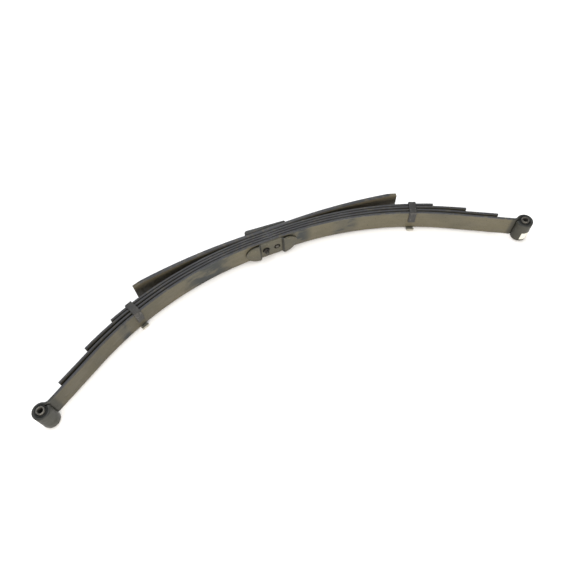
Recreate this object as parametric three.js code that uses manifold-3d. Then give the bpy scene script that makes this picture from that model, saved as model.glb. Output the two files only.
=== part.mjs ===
// A semi-elliptic leaf spring: four full-curve leaves, a flatter overload leaf, a taper wedge and a
// saddle plate at the seat, two clips, and a bonded rubber bushing in each rolled eye.
// Millimetres. X runs along the spring, Y points to the convex side, Z is the width of the leaves.
import * as THREE from "three";
import { mergeVertices } from "three/addons/utils/BufferGeometryUtils.js";
import Module from "manifold-3d";

const wasm = await Module();
wasm.setup();

// ---- Driving dimensions -----------------------------------------------------------------------

const LEAF_WIDTH = 63.5;
const LEAF_THICKNESS = 7.2;
const EDGE_RADIUS = 3;
const MID_Z = LEAF_WIDTH / 2;
const SEAT_HALF = 34; // half-length of the flat seat in the middle
const FIT = 0.3; // gap between faces that touch

// Each end of the spring: the arc of the main leaf, where it turns straight, and how far each leaf
// reaches from the middle, measured along the main leaf.
const LEFT = {
  sign: -1,
  arcRadius: 867,
  arcEnd: 539,
  eye: 702.5,
  secondTip: 633,
  thirdTip: 537,
  secondLift: 4.9,
  thirdLift: 5.2,
};
const RIGHT = {
  sign: 1,
  arcRadius: 892,
  arcEnd: 502.5,
  eye: 689.5,
  secondTip: 620.5,
  thirdTip: 537,
  secondLift: 3.9,
  thirdLift: 4.3,
};
const FOURTH_TIP = 450;
const FOURTH_LIFT = 0.9;
const LIFT_START = 70; // the leaves lie tight together up to here
const LIFT_POWER = 1.5;
const STATION_STEP = 30;

const EYE_BORE_RADIUS = 14.4;
const EYE_OUTER_RADIUS = EYE_BORE_RADIUS + LEAF_THICKNESS;
const EYE_OFFSET = 1.2; // eye centre above the concave face, so the eye sits almost in line
const EYE_NECK_RADIUS = 14; // reverse bend in front of the eye, at mid-thickness
const EYE_END_ANGLE = -172; // where the roll stops, just short of the leaf
const EYE_STEPS = 28;

const OVERLOAD_HALF_LENGTH = 380;
const OVERLOAD_SEAT_HALF = 75;
const OVERLOAD_RADIUS = 1555;
const OVERLOAD_THICKNESS = 12.3;
const OVERLOAD_TIP_THICKNESS = 9.4;
const OVERLOAD_TRIM_LENGTH = 31;
const OVERLOAD_TRIM_DEPTH = 6;

const WEDGE = { left: -58, right: 57, thick: 12.4, thin: 4.2, chamferRun: 6, chamferDrop: 4.6 };

const SADDLE = {
  shift: -2,
  thickness: 4.5,
  width: 59,
  flatHalf: 30.5,
  crest: 35,
  rise: 7.2,
  reach: 73,
  roundStart: 40,
  bendRadius: 2.6,
};
const HOLE_SPACING = 32;
const BOLT_X = SADDLE.shift - HOLE_SPACING / 2;
const DOWEL_X = SADDLE.shift + HOLE_SPACING / 2;
const SADDLE_BOLT_HOLE_RADIUS = 10;
const SADDLE_DOWEL_HOLE_RADIUS = 9;

const BOLT = { radius: 5.55, headRadius: 8, headHeight: 10, tail: 18.5 };
const NUT = { acrossFlats: 15.9, height: 9.5 };
const DOWEL = { radius: 5, proud: 6.6 };

const CLIP = {
  at: 395,
  strapWidth: 19,
  strapThickness: 3.8,
  clearance: 0.5,
  bendRadius: 4.5,
  upperLegEnd: 27,
  hookReach: 6.2,
  hookEnd: 7.5,
  hookLean: 1.4,
};
const RIVET = { radius: 4, headRadius: 7.5, headHeight: 3.2 };

const PAD = { inboard: 50, radius: 15, stemRadius: 4.5, stemLength: 5.5 };

const BUSHING = {
  shellOuter: EYE_BORE_RADIUS - FIT,
  shellInner: 12.9,
  rubberOuter: 12.6,
  rubberInner: 10.3,
  sleeveOuter: 10,
  sleeveInner: 7,
  shellLength: 61.5,
  rubberLength: 63,
  rubberDish: 1.5,
  sleeveProud: CLIP.clearance + CLIP.strapThickness,
};

const LABEL = { startAngle: 236, endAngle: 336, bottom: 6, top: 34, thickness: 0.25 };

// ---- Materials --------------------------------------------------------------------------------

function material(color, roughness, metalness) {
  return new THREE.MeshStandardMaterial({ color, roughness, metalness });
}

const FINISH = {
  springSteel: () => material(0x4c4b46, 0.62, 0.35),
  overloadSteel: () => material(0x45443a, 0.65, 0.35),
  castWedge: () => material(0x3d403d, 0.7, 0.4),
  stampedSteel: () => material(0x5b584d, 0.6, 0.35),
  fastener: () => material(0x3a3a3a, 0.5, 0.7),
  clipSteel: () => material(0x4f5152, 0.5, 0.5),
  zincSleeve: () => material(0x8b8a84, 0.4, 0.85),
  rubber: () => material(0x1b1b1c, 0.85, 0),
  slipPad: () => material(0xcfc9bb, 0.5, 0),
  label: () => material(0xe9e8e3, 0.6, 0),
};

// ---- Solids -----------------------------------------------------------------------------------

function toSolid(geometry) {
  const loose = geometry.index ? geometry.toNonIndexed() : geometry;
  const bare = new THREE.BufferGeometry();
  bare.setAttribute("position", loose.getAttribute("position"));
  const merged = mergeVertices(bare, 1e-4);
  return new wasm.Manifold(
    new wasm.Mesh({
      numProp: 3,
      vertProperties: new Float32Array(merged.attributes.position.array),
      triVerts: new Uint32Array(merged.index.array),
    }),
  );
}

function toGeometry(solid) {
  const mesh = solid.getMesh();
  const geometry = new THREE.BufferGeometry();
  geometry.setAttribute("position", new THREE.BufferAttribute(mesh.vertProperties, 3));
  geometry.setIndex(new THREE.BufferAttribute(mesh.triVerts, 1));
  geometry.computeVertexNormals();
  return geometry;
}

function cut(geometry, tools) {
  let solid = toSolid(geometry);
  for (const tool of tools) {
    solid = solid.subtract(toSolid(tool));
  }
  return toGeometry(solid);
}

// An outline keeps a point only where it turns, so that flat caps and long sides share their edges.
function shapeOf(points) {
  const turning = points.filter(([x, y], i) => {
    const [ax, ay] = points.at(i - 1);
    const [bx, by] = points[(i + 1) % points.length];
    return Math.abs((x - ax) * (by - y) - (y - ay) * (bx - x)) > 1e-5;
  });
  return new THREE.Shape(turning.map(([x, y]) => new THREE.Vector2(x, y)));
}

// A plan outline stood up along Z between two heights, its top and bottom edges rounded inwards.
function standUp(shape, bottom, top, radius = 0, steps = 2) {
  const geometry = new THREE.ExtrudeGeometry(shape, {
    depth: top - bottom - 2 * radius,
    curveSegments: 12,
    bevelEnabled: radius > 0,
    bevelThickness: radius,
    bevelSize: radius,
    bevelOffset: -radius,
    bevelSegments: steps,
  });
  return geometry.translate(0, 0, bottom + radius);
}

// A round bar along Y.
function barY(radius, from, to, x, z, sides = 24) {
  return new THREE.CylinderGeometry(radius, radius, to - from, sides).translate(x, (from + to) / 2, z);
}

// A turned piece about Y, from [radius, height] pairs that run upwards on the outside.
function turned(profile, sides = 24) {
  const points = profile.map(([radius, height]) => new THREE.Vector2(radius, height));
  return new THREE.LatheGeometry(points, sides);
}

// ---- The curve of the pack --------------------------------------------------------------------

// A point at a distance along the main leaf's concave face (negative to the left) and an offset
// from that face towards the convex side.
function packPoint(distance, offset) {
  const end = distance < 0 ? LEFT : RIGHT;
  const run = Math.abs(distance);
  const arc = THREE.MathUtils.clamp(run - SEAT_HALF, 0, end.arcEnd - SEAT_HALF);
  const angle = arc / end.arcRadius;
  const straight = Math.max(run - end.arcEnd, 0);
  const reach =
    Math.min(run, SEAT_HALF) + end.arcRadius * Math.sin(angle) + straight * Math.cos(angle);
  const drop = end.arcRadius * (1 - Math.cos(angle)) + straight * Math.sin(angle);
  return {
    x: end.sign * (reach + offset * Math.sin(angle)),
    y: -drop + offset * Math.cos(angle),
    turn: -end.sign * angle,
  };
}

function planPoint(distance, offset) {
  const point = packPoint(distance, offset);
  return [point.x, point.y];
}

// Turns a piece built about Y and puts it at a place on the pack.
function onPack(geometry, distance, offset, z) {
  const point = packPoint(distance, offset);
  return geometry.rotateZ(point.turn).translate(point.x, point.y, z);
}

function stations(from, to) {
  const count = Math.ceil((to - from) / STATION_STEP);
  return Array.from({ length: count + 1 }, (_, i) => from + ((to - from) * i) / count);
}

// How far a leaf has risen from the one before it, by the distance from the middle.
function lift(distance, tip, tipLift) {
  const run = Math.max(Math.abs(distance) - LIFT_START, 0) / (tip - LIFT_START);
  return tipLift * run ** LIFT_POWER;
}

// Offsets of each leaf's inner face from the main leaf's concave face.
function secondInner(distance) {
  const end = distance < 0 ? LEFT : RIGHT;
  return LEAF_THICKNESS + FIT + lift(distance, end.secondTip, end.secondLift);
}

function thirdInner(distance) {
  const end = distance < 0 ? LEFT : RIGHT;
  return secondInner(distance) + LEAF_THICKNESS + FIT + lift(distance, end.thirdTip, end.thirdLift);
}

function fourthInner(distance) {
  return thirdInner(distance) + LEAF_THICKNESS + FIT + lift(distance, FOURTH_TIP, FOURTH_LIFT);
}

const OVERLOAD_INNER = fourthInner(0) + LEAF_THICKNESS + FIT;
const WEDGE_INNER = OVERLOAD_INNER + OVERLOAD_THICKNESS + FIT;

// ---- Leaves -----------------------------------------------------------------------------------

function seatHoles() {
  const far = WEDGE_INNER;
  return [
    barY(BOLT.radius + FIT, -5, far, BOLT_X, MID_Z),
    barY(DOWEL.radius + FIT, -5, far, DOWEL_X, MID_Z),
  ];
}

// One side of a rolled eye with its neck, in distance along the leaf and offset from its face.
// The path leaves the straight leaf, bends back over the neck and goes round the eye.
function eyeSide(end, inside) {
  const half = LEAF_THICKNESS / 2;
  const midRadius = EYE_BORE_RADIUS + half;
  const neckHeight = half + EYE_NECK_RADIUS;
  const across = EYE_NECK_RADIUS + midRadius;
  const along = Math.sqrt(across ** 2 - (neckHeight - EYE_OFFSET) ** 2);
  const neckStart = end.eye - along;
  const neckTurn = Math.acos((neckHeight - EYE_OFFSET) / across);
  const neckRadius = inside ? EYE_NECK_RADIUS + half : EYE_NECK_RADIUS - half;
  const eyeRadius = inside ? EYE_BORE_RADIUS : EYE_OUTER_RADIUS;
  const points = [];
  const neckSteps = 4;
  for (let i = 0; i < neckSteps; i++) {
    const angle = -Math.PI / 2 + (neckTurn * i) / neckSteps;
    points.push([neckStart + neckRadius * Math.cos(angle), neckHeight + neckRadius * Math.sin(angle)]);
  }
  const first = Math.PI / 2 + neckTurn;
  const last = THREE.MathUtils.degToRad(EYE_END_ANGLE);
  for (let i = 0; i <= EYE_STEPS; i++) {
    if (i === EYE_STEPS - 1) {
      continue; // the cut end keeps room for its rounded corners
    }
    const angle = first + ((last - first) * i) / EYE_STEPS;
    points.push([end.eye + eyeRadius * Math.cos(angle), EYE_OFFSET + eyeRadius * Math.sin(angle)]);
  }
  const placed = points.map(([distance, offset]) => planPoint(end.sign * distance, offset));
  return { placed, neckStart };
}

function mainLeaf() {
  const left = { bore: eyeSide(LEFT, true), back: eyeSide(LEFT, false) };
  const right = { bore: eyeSide(RIGHT, true), back: eyeSide(RIGHT, false) };
  const runs = stations(-left.bore.neckStart, right.bore.neckStart).slice(1, -1);
  const concave = runs.map((distance) => planPoint(distance, 0));
  const convex = runs.map((distance) => planPoint(distance, LEAF_THICKNESS));
  const outline = [
    ...left.bore.placed.slice().reverse(),
    ...concave,
    ...right.bore.placed,
    ...right.back.placed.slice().reverse(),
    ...convex.reverse(),
    ...left.back.placed,
  ];
  return cut(standUp(shapeOf(outline), 0, LEAF_WIDTH, EDGE_RADIUS), seatHoles());
}

function fullLeaf(inner, leftTip, rightTip, extraHoles) {
  const runs = stations(-leftTip, rightTip);
  const concave = runs.map((distance) => planPoint(distance, inner(distance)));
  const convex = runs.map((distance) => planPoint(distance, inner(distance) + LEAF_THICKNESS));
  const body = standUp(shapeOf([...concave, ...convex.reverse()]), 0, LEAF_WIDTH, EDGE_RADIUS);
  return cut(body, [...seatHoles(), ...extraHoles]);
}

function holeOnPack(radius, distance, offset) {
  const depth = 3 * LEAF_THICKNESS;
  return onPack(new THREE.CylinderGeometry(radius, radius, depth, 20), distance, offset, MID_Z);
}

function padHoles(inner, leftTip, rightTip) {
  return [-(leftTip - PAD.inboard), rightTip - PAD.inboard].map((distance) =>
    holeOnPack(PAD.stemRadius + FIT, distance, inner(distance) + LEAF_THICKNESS / 2),
  );
}

function rivetHoles() {
  return [-CLIP.at, CLIP.at].map((distance) =>
    holeOnPack(RIVET.radius + FIT, distance, fourthInner(distance) + LEAF_THICKNESS / 2),
  );
}

// A point on the overload leaf, whose seat is flat and whose arms have one wide radius.
function overloadPoint(distance, offset) {
  const arc = Math.max(Math.abs(distance) - OVERLOAD_SEAT_HALF, 0);
  const angle = arc / OVERLOAD_RADIUS;
  const seat = Math.min(Math.abs(distance), OVERLOAD_SEAT_HALF);
  const reach = seat + OVERLOAD_RADIUS * Math.sin(angle);
  return [
    Math.sign(distance) * (reach + offset * Math.sin(angle)),
    WEDGE_INNER - FIT - OVERLOAD_RADIUS * (1 - Math.cos(angle)) + offset * Math.cos(angle),
  ];
}

function overloadThickness(distance) {
  const arm = OVERLOAD_HALF_LENGTH - OVERLOAD_SEAT_HALF;
  const run = Math.max(Math.abs(distance) - OVERLOAD_SEAT_HALF, 0) / arm;
  return OVERLOAD_THICKNESS + (OVERLOAD_TIP_THICKNESS - OVERLOAD_THICKNESS) * run;
}

// The wide face of the overload leaf seen square on, with its four corners trimmed, as a block that
// the leaf is cut from.
function trimmedBlank() {
  const [tipX] = overloadPoint(OVERLOAD_HALF_LENGTH, 0);
  const trimX = tipX - OVERLOAD_TRIM_LENGTH;
  const low = OVERLOAD_TRIM_DEPTH;
  const high = LEAF_WIDTH - OVERLOAD_TRIM_DEPTH;
  const far = tipX + 1;
  const face = shapeOf([
    [-trimX, -1],
    [trimX, -1],
    [trimX, 0],
    [far, low],
    [far, high],
    [trimX, LEAF_WIDTH],
    [trimX, LEAF_WIDTH + 1],
    [-trimX, LEAF_WIDTH + 1],
    [-trimX, LEAF_WIDTH],
    [-far, high],
    [-far, low],
    [-trimX, 0],
  ]);
  const block = new THREE.ExtrudeGeometry(face, { depth: 200, bevelEnabled: false });
  return block.rotateX(Math.PI / 2).translate(0, 120, 0);
}

function overloadLeaf() {
  const runs = stations(-OVERLOAD_HALF_LENGTH, OVERLOAD_HALF_LENGTH);
  const convex = runs.map((distance) => overloadPoint(distance, 0));
  const concave = runs.map((distance) => overloadPoint(distance, -overloadThickness(distance)));
  const body = standUp(shapeOf([...concave, ...convex.reverse()]), 0, LEAF_WIDTH, EDGE_RADIUS);
  const trimmed = toGeometry(toSolid(body).intersect(toSolid(trimmedBlank())));
  return cut(trimmed, seatHoles());
}

// ---- Seat pieces ------------------------------------------------------------------------------

function wedgeFaceY(x) {
  const run = (x - WEDGE.left) / (WEDGE.right - WEDGE.left);
  return WEDGE_INNER + WEDGE.thick + (WEDGE.thin - WEDGE.thick) * run;
}

const BOLT_HEAD_SEAT = wedgeFaceY(BOLT_X) - 3;
const DOWEL_TOP = wedgeFaceY(DOWEL_X) - 3.5;

function axleWedge() {
  const outline = shapeOf([
    [WEDGE.left, WEDGE_INNER],
    [WEDGE.right, WEDGE_INNER],
    [WEDGE.right, WEDGE_INNER + 2],
    [WEDGE.right - 3, wedgeFaceY(WEDGE.right - 3)],
    [WEDGE.left + WEDGE.chamferRun, wedgeFaceY(WEDGE.left + WEDGE.chamferRun)],
    [WEDGE.left, wedgeFaceY(WEDGE.left) - WEDGE.chamferDrop],
  ]);
  return cut(standUp(outline, 0, LEAF_WIDTH, 0.8, 1), [
    barY(BOLT.radius + FIT, WEDGE_INNER - 5, BOLT_HEAD_SEAT + 20, BOLT_X, MID_Z),
    barY(BOLT.headRadius + FIT, BOLT_HEAD_SEAT, BOLT_HEAD_SEAT + 20, BOLT_X, MID_Z),
    barY(DOWEL.radius + FIT, WEDGE_INNER - 5, DOWEL_TOP + FIT, DOWEL_X, MID_Z),
  ]);
}

// A bent strip of sheet: a centre path with rounded corners, given thickness both ways.
function roundedPath(corners, radius, steps = 4) {
  const path = [corners[0]];
  for (let i = 1; i < corners.length - 1; i++) {
    const corner = new THREE.Vector2(...corners[i]);
    const before = new THREE.Vector2(...corners[i - 1]).sub(corner);
    const after = new THREE.Vector2(...corners[i + 1]).sub(corner);
    const between = Math.acos(before.dot(after) / (before.length() * after.length()));
    const trim = radius / Math.tan(between / 2);
    const start = corner.clone().add(before.setLength(trim));
    const finish = corner.clone().add(after.setLength(trim));
    const toCentre = start.clone().add(finish).sub(corner).sub(corner);
    const centre = corner.clone().add(toCentre.setLength(radius / Math.sin(between / 2)));
    const from = start.clone().sub(centre);
    const sweep = Math.sign(from.cross(finish.clone().sub(centre))) * (Math.PI - between);
    for (let k = 0; k <= steps; k++) {
      const point = from.clone().rotateAround(new THREE.Vector2(), (sweep * k) / steps).add(centre);
      path.push([point.x, point.y]);
    }
  }
  path.push(corners.at(-1));
  return path;
}

function stripOutline(path, thickness) {
  const sides = [[], []];
  path.forEach(([x, y], i) => {
    const [ax, ay] = path[Math.max(i - 1, 0)];
    const [bx, by] = path[Math.min(i + 1, path.length - 1)];
    const along = new THREE.Vector2(bx - ax, by - ay).normalize();
    const half = thickness / 2;
    sides[0].push([x - along.y * half, y + along.x * half]);
    sides[1].push([x + along.y * half, y - along.x * half]);
  });
  return shapeOf([...sides[0], ...sides[1].reverse()]);
}

// Outline of the saddle plate seen square on, with its two round-ended ears.
function saddleFace() {
  const half = SADDLE.width / 2;
  const face = new THREE.Shape();
  const start = SADDLE.roundStart;
  const long = SADDLE.reach - start;
  face.absellipse(start, MID_Z, long, half, -Math.PI / 2, Math.PI / 2, false, 0);
  face.absellipse(-start, MID_Z, long, half, Math.PI / 2, Math.PI * 1.5, false, 0);
  const block = new THREE.ExtrudeGeometry(face, {
    depth: 40,
    curveSegments: 16,
    bevelEnabled: false,
  });
  return block.rotateX(Math.PI / 2).translate(SADDLE.shift, 10, 0);
}

function saddlePlate() {
  const flat = FIT + SADDLE.thickness / 2;
  const tipClearance = 1.3;
  const corners = [
    [-SADDLE.reach - 1, -(flat + tipClearance)],
    [-SADDLE.crest, -(flat + SADDLE.rise)],
    [-SADDLE.flatHalf, -flat],
    [SADDLE.flatHalf, -flat],
    [SADDLE.crest, -(flat + SADDLE.rise)],
    [SADDLE.reach + 1, -(flat + tipClearance)],
  ];
  const profile = stripOutline(roundedPath(corners, SADDLE.bendRadius), SADDLE.thickness);
  const edge = MID_Z - SADDLE.width / 2;
  const sheet = standUp(profile, edge, LEAF_WIDTH - edge, 0.7, 1).translate(SADDLE.shift, 0, 0);
  const eared = toGeometry(toSolid(sheet).intersect(toSolid(saddleFace())));
  return cut(eared, [
    barY(SADDLE_BOLT_HOLE_RADIUS, -20, 5, BOLT_X, MID_Z, 32),
    barY(SADDLE_DOWEL_HOLE_RADIUS, -20, 5, DOWEL_X, MID_Z, 32),
  ]);
}

function centreBolt() {
  const { radius, headRadius, headHeight, tail } = BOLT;
  const seat = BOLT_HEAD_SEAT + FIT;
  const profile = [
    [0, -tail],
    [radius - 1, -tail],
    [radius, -tail + 1],
    [radius, seat],
    [headRadius, seat],
    [headRadius, seat + headHeight - 1.5],
    [headRadius - 1.5, seat + headHeight],
    [0, seat + headHeight],
  ];
  return turned(profile).translate(BOLT_X, 0, MID_Z);
}

function centreNut() {
  const corner = NUT.acrossFlats / Math.sqrt(3);
  const blank = new THREE.CylinderGeometry(corner, corner, NUT.height, 6);
  blank.translate(BOLT_X, -(FIT + NUT.height / 2), MID_Z);
  return cut(blank, [barY(BOLT.radius + FIT, -20, 5, BOLT_X, MID_Z, 32)]);
}

function locatingDowel() {
  const { radius, proud } = DOWEL;
  const profile = [
    [0, -proud],
    [radius - 1, -proud],
    [radius, -proud + 1],
    [radius, DOWEL_TOP],
    [0, DOWEL_TOP],
  ];
  return turned(profile, 20).translate(DOWEL_X, 0, MID_Z);
}

// ---- Clips ------------------------------------------------------------------------------------

// The strap's section is drawn with the offset across the pack as x and the height as y.
function clipStrap(distance) {
  const { strapThickness, clearance, bendRadius } = CLIP;
  const out = clearance + strapThickness / 2;
  const back = fourthInner(distance) + LEAF_THICKNESS + out;
  const corners = [
    [-out, CLIP.upperLegEnd],
    [-out, LEAF_WIDTH + out],
    [back, LEAF_WIDTH + out],
    [back, -out],
    [-out - CLIP.hookReach, -out],
    [-out - CLIP.hookReach - CLIP.hookLean, CLIP.hookEnd],
  ];
  const section = stripOutline(roundedPath(corners, bendRadius), strapThickness);
  const strap = new THREE.ExtrudeGeometry(section, {
    depth: CLIP.strapWidth - 1,
    bevelEnabled: true,
    bevelThickness: 0.5,
    bevelSize: 0.5,
    bevelOffset: -0.5,
    bevelSegments: 1,
  }).translate(0, 0, -(CLIP.strapWidth - 1) / 2);
  const axes = new THREE.Matrix4().makeBasis(
    new THREE.Vector3(0, 1, 0),
    new THREE.Vector3(0, 0, 1),
    new THREE.Vector3(1, 0, 0),
  );
  const placed = onPack(strap.applyMatrix4(axes), distance, 0, 0);
  return cut(placed, [holeOnPack(RIVET.radius + FIT, distance, back)]);
}

function clipRivet(distance) {
  const inner = fourthInner(distance);
  const strapOuter = LEAF_THICKNESS + CLIP.clearance + CLIP.strapThickness;
  const headSteps = 4;
  const profile = [
    [0, 0.4],
    [RIVET.radius, 0.4],
    [RIVET.radius, strapOuter + FIT],
  ];
  for (let i = 0; i < headSteps; i++) {
    const angle = (i / headSteps) * (Math.PI / 2);
    profile.push([
      RIVET.headRadius * Math.cos(angle),
      strapOuter + FIT + RIVET.headHeight * Math.sin(angle),
    ]);
  }
  profile.push([0, strapOuter + FIT + RIVET.headHeight]);
  return onPack(turned(profile, 16), distance, inner, MID_Z);
}

// ---- Tip pads ---------------------------------------------------------------------------------

// A slip pad between a leaf tip and the leaf before it, its stem pushed into the tip. The leaves
// bend across the flat pad, so it keeps twice the usual gap.
function tipPad(distance, below, inner) {
  const floor = below(distance) + LEAF_THICKNESS + FIT;
  const height = inner(distance) - floor - 2 * FIT;
  const { radius, stemRadius, stemLength } = PAD;
  const profile = [
    [0, 0],
    [radius - 0.8, 0],
    [radius, 0.8],
    [radius, height],
    [stemRadius, height],
    [stemRadius, height + stemLength],
    [0, height + stemLength],
  ];
  return onPack(turned(profile), distance, floor, MID_Z);
}

const mainInner = () => 0;

// ---- Bushings ---------------------------------------------------------------------------------

// A ring about Z, from a closed [radius, height] outline.
function ringZ(outline, x, y) {
  const closed = [...outline, outline[0]];
  return turned(closed, 32).rotateX(Math.PI / 2).translate(x, y, MID_Z);
}

function bushing(end) {
  const [x, y] = planPoint(end.sign * end.eye, EYE_OFFSET);
  const b = BUSHING;
  const shell = b.shellLength / 2;
  const rubber = b.rubberLength / 2;
  const sleeve = MID_Z + b.sleeveProud;
  const waist = (b.rubberInner + b.rubberOuter) / 2;
  return {
    bushing_shell: ringZ(
      [
        [b.shellInner, -shell],
        [b.shellOuter, -shell],
        [b.shellOuter, shell],
        [b.shellInner, shell],
      ],
      x,
      y,
    ),
    bushing_rubber: ringZ(
      [
        [b.rubberInner, -rubber],
        [waist, -rubber + b.rubberDish],
        [b.rubberOuter, -rubber],
        [b.rubberOuter, rubber],
        [waist, rubber - b.rubberDish],
        [b.rubberInner, rubber],
      ],
      x,
      y,
    ),
    bushing_sleeve: ringZ(
      [
        [b.sleeveInner, -sleeve],
        [b.sleeveOuter - 0.6, -sleeve],
        [b.sleeveOuter, -sleeve + 0.6],
        [b.sleeveOuter, sleeve - 0.6],
        [b.sleeveOuter - 0.6, sleeve],
        [b.sleeveInner, sleeve],
      ],
      x,
      y,
    ),
  };
}

// A plain paper label wrapped part of the way round the right-hand eye.
function eyeLabel() {
  const [x, y] = planPoint(RIGHT.eye, EYE_OFFSET);
  const inner = EYE_OUTER_RADIUS + FIT;
  const outer = inner + LABEL.thickness;
  const first = THREE.MathUtils.degToRad(LABEL.startAngle);
  const last = THREE.MathUtils.degToRad(LABEL.endAngle);
  const sector = new THREE.Shape();
  sector.absarc(0, 0, outer, first, last, false);
  sector.absarc(0, 0, inner, last, first, true);
  return standUp(sector, LABEL.bottom, LABEL.top).translate(x, y, 0);
}

// ---- The assembly -----------------------------------------------------------------------------

const spring = new THREE.Group();

function addPiece(name, geometry, finish) {
  const mesh = new THREE.Mesh(geometry, finish());
  mesh.name = name;
  spring.add(mesh);
}

addPiece("main_leaf", mainLeaf(), FINISH.springSteel);
addPiece(
  "second_leaf",
  fullLeaf(
    secondInner,
    LEFT.secondTip,
    RIGHT.secondTip,
    padHoles(secondInner, LEFT.secondTip, RIGHT.secondTip),
  ),
  FINISH.springSteel,
);
addPiece(
  "third_leaf",
  fullLeaf(
    thirdInner,
    LEFT.thirdTip,
    RIGHT.thirdTip,
    padHoles(thirdInner, LEFT.thirdTip, RIGHT.thirdTip),
  ),
  FINISH.springSteel,
);
addPiece(
  "fourth_leaf",
  fullLeaf(fourthInner, FOURTH_TIP, FOURTH_TIP, rivetHoles()),
  FINISH.springSteel,
);
addPiece("overload_leaf", overloadLeaf(), FINISH.overloadSteel);
addPiece("axle_wedge", axleWedge(), FINISH.castWedge);
addPiece("saddle_plate", saddlePlate(), FINISH.stampedSteel);
addPiece("centre_bolt", centreBolt(), FINISH.fastener);
addPiece("centre_nut", centreNut(), FINISH.fastener);
addPiece("locating_dowel", locatingDowel(), FINISH.fastener);

for (const [side, end] of [
  ["left", LEFT],
  ["right", RIGHT],
]) {
  const clipAt = end.sign * CLIP.at;
  addPiece(`${side}_clip`, clipStrap(clipAt), FINISH.clipSteel);
  addPiece(`${side}_clip_rivet`, clipRivet(clipAt), FINISH.fastener);
  const secondPadAt = end.sign * (end.secondTip - PAD.inboard);
  const thirdPadAt = end.sign * (end.thirdTip - PAD.inboard);
  addPiece(`${side}_second_tip_pad`, tipPad(secondPadAt, mainInner, secondInner), FINISH.slipPad);
  addPiece(`${side}_third_tip_pad`, tipPad(thirdPadAt, secondInner, thirdInner), FINISH.slipPad);
  const parts = bushing(end);
  addPiece(`${side}_bushing_shell`, parts.bushing_shell, FINISH.stampedSteel);
  addPiece(`${side}_bushing_rubber`, parts.bushing_rubber, FINISH.rubber);
  addPiece(`${side}_bushing_sleeve`, parts.bushing_sleeve, FINISH.zincSleeve);
}
addPiece("eye_label", eyeLabel(), FINISH.label);

// The part's origin is the middle of the bottom of its box, with the spring lying on its side.
const box = new THREE.Box3().setFromObject(spring);
const middle = box.getCenter(new THREE.Vector3());
spring.position.set(-middle.x, -middle.y, -box.min.z);

const leafSpring = new THREE.Group();
leafSpring.add(spring);

export default leafSpring;
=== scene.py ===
# %% [markdown]
# # A leaf spring, made piece by piece
# A leaf spring is a stack of curved steel strips. The longest one, the main leaf, is rolled into
# an eye at each end, and the shorter ones lie behind it and share the load. This lesson loads the
# measured frame of the spring, then makes each piece again with its real edges, bends and
# surface. The spring lies on its side, so X runs along it, Y points from the hollow side to the
# overload leaf, and Z is the width of the leaves.

# %% Load the frame
import math

import bmesh
import bpy
from mathutils import Matrix, Vector


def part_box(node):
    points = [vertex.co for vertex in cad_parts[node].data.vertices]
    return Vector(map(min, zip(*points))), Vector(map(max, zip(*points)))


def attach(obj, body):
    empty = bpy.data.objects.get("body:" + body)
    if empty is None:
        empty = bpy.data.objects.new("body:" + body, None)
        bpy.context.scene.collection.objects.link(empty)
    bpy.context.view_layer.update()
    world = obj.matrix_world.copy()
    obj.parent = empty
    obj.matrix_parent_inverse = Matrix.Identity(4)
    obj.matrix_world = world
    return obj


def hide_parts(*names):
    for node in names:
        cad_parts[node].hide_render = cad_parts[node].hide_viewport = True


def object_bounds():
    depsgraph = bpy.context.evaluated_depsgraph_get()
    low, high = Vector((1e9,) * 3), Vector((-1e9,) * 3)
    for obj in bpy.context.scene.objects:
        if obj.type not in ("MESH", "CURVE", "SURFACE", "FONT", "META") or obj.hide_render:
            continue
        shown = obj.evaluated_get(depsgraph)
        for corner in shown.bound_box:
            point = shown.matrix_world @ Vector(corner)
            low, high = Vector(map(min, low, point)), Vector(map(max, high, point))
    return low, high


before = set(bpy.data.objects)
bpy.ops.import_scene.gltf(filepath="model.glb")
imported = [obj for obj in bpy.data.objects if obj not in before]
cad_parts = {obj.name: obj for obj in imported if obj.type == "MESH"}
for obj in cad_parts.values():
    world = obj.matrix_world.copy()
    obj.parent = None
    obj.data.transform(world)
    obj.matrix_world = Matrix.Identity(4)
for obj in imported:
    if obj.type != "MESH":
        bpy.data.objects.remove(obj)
bpy.context.view_layer.update()
cad_low, cad_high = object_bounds()
print("frame", [round(v, 4) for v in cad_low], [round(v, 4) for v in cad_high])

# %% [markdown]
# ## Driving dimensions
# These are the sizes that a spring maker would write on the drawing, in millimetres. Everything
# else follows from them. The frame is in metres, so MM turns a millimetre into one. The middle of
# the seat is found from the axle wedge's box: the wedge reaches from 58 mm on one side of it to
# 57 mm on the other, and its flat face is 42.6 mm behind the main leaf's hollow face.

# %% Dimensions
MM = 0.001
WIDTH = 63.5
THICK = 7.2
EDGE = 3.0
MID = WIDTH / 2
SEAT_HALF = 34
FIT = 0.3
LEFT = dict(sign=-1, radius=867, arc_end=539, eye=702.5, second=633, third=537, lift=(4.9, 5.2))
RIGHT = dict(sign=1, radius=892, arc_end=502.5, eye=689.5, second=620.5, third=537, lift=(3.9, 4.3))
ENDS = (("left", LEFT), ("right", RIGHT))
FOURTH_TIP = 450
FOURTH_LIFT = 0.9
LIFT_START = 70
LIFT_POWER = 1.5
CLIP_AT = 395
EYE_BORE = 14.4
EYE_OFFSET = 1.2
NECK_RADIUS = 14

WEDGE_LEFT = -58
WEDGE_RIGHT = 57
WEDGE_INNER = 42.6

wedge_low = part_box("axle_wedge")[0]
SEAT_X = wedge_low.x / MM - WEDGE_LEFT
SEAT_Y = wedge_low.y / MM - WEDGE_INNER
BASE_Z = wedge_low.z / MM
print("seat at", round(SEAT_X, 2), round(SEAT_Y, 2), round(BASE_Z, 2))

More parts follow.
